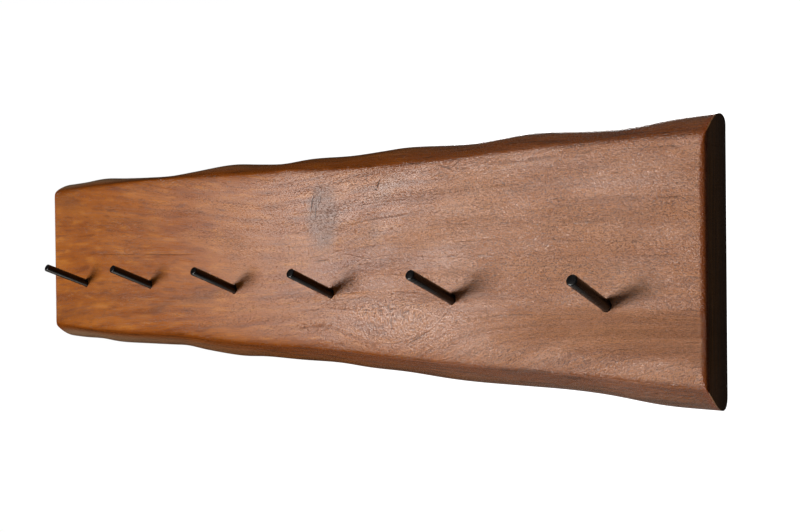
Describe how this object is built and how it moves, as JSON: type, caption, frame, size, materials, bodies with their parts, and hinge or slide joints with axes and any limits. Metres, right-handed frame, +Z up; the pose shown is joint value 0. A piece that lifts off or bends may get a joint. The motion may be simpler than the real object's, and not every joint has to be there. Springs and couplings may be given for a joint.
{
  "type": "wall hook rack",
  "caption": "Live-edge hardwood slab with a row of round black steel pegs that point upwards, hung on keyhole plates let into its back.",
  "frame": {"origin": "on the slab's flat back face, where it meets the wall, at the middle of its length and close to the middle of its height", "axes": "+X to the right along the slab as seen from the room, +Y into the wall, +Z up; the pegs point to -Y and up"},
  "size_m": [0.9291, 0.108, 0.2302],
  "materials": {
    "slab_wood": "oiled satin, open pores",
    "peg_black": "matt black paint on steel rod",
    "stud_steel": "bright zinc",
    "insert_brass": "machined",
    "plate_steel": "zinc-plated pressed sheet",
    "screw_steel": "yellow zinc"
  },
  "bodies": {
    "root": {"live_edge_slab": "slab_wood", "peg_1": "peg_black", "peg_2": "peg_black", "peg_3": "peg_black", "peg_4": "peg_black", "peg_5": "peg_black", "peg_6": "peg_black", "peg_stud_1": "stud_steel", "peg_stud_2": "stud_steel", "peg_stud_3": "stud_steel", "peg_stud_4": "stud_steel", "peg_stud_5": "stud_steel", "peg_stud_6": "stud_steel", "threaded_insert_1": "insert_brass", "threaded_insert_2": "insert_brass", "threaded_insert_3": "insert_brass", "threaded_insert_4": "insert_brass", "threaded_insert_5": "insert_brass", "threaded_insert_6": "insert_brass", "keyhole_plate_left": "plate_steel", "keyhole_plate_right": "plate_steel", "plate_screw_left_upper": "screw_steel", "plate_screw_left_lower": "screw_steel", "plate_screw_right_upper": "screw_steel", "plate_screw_right_lower": "screw_steel"}
  },
  "joints": []
}
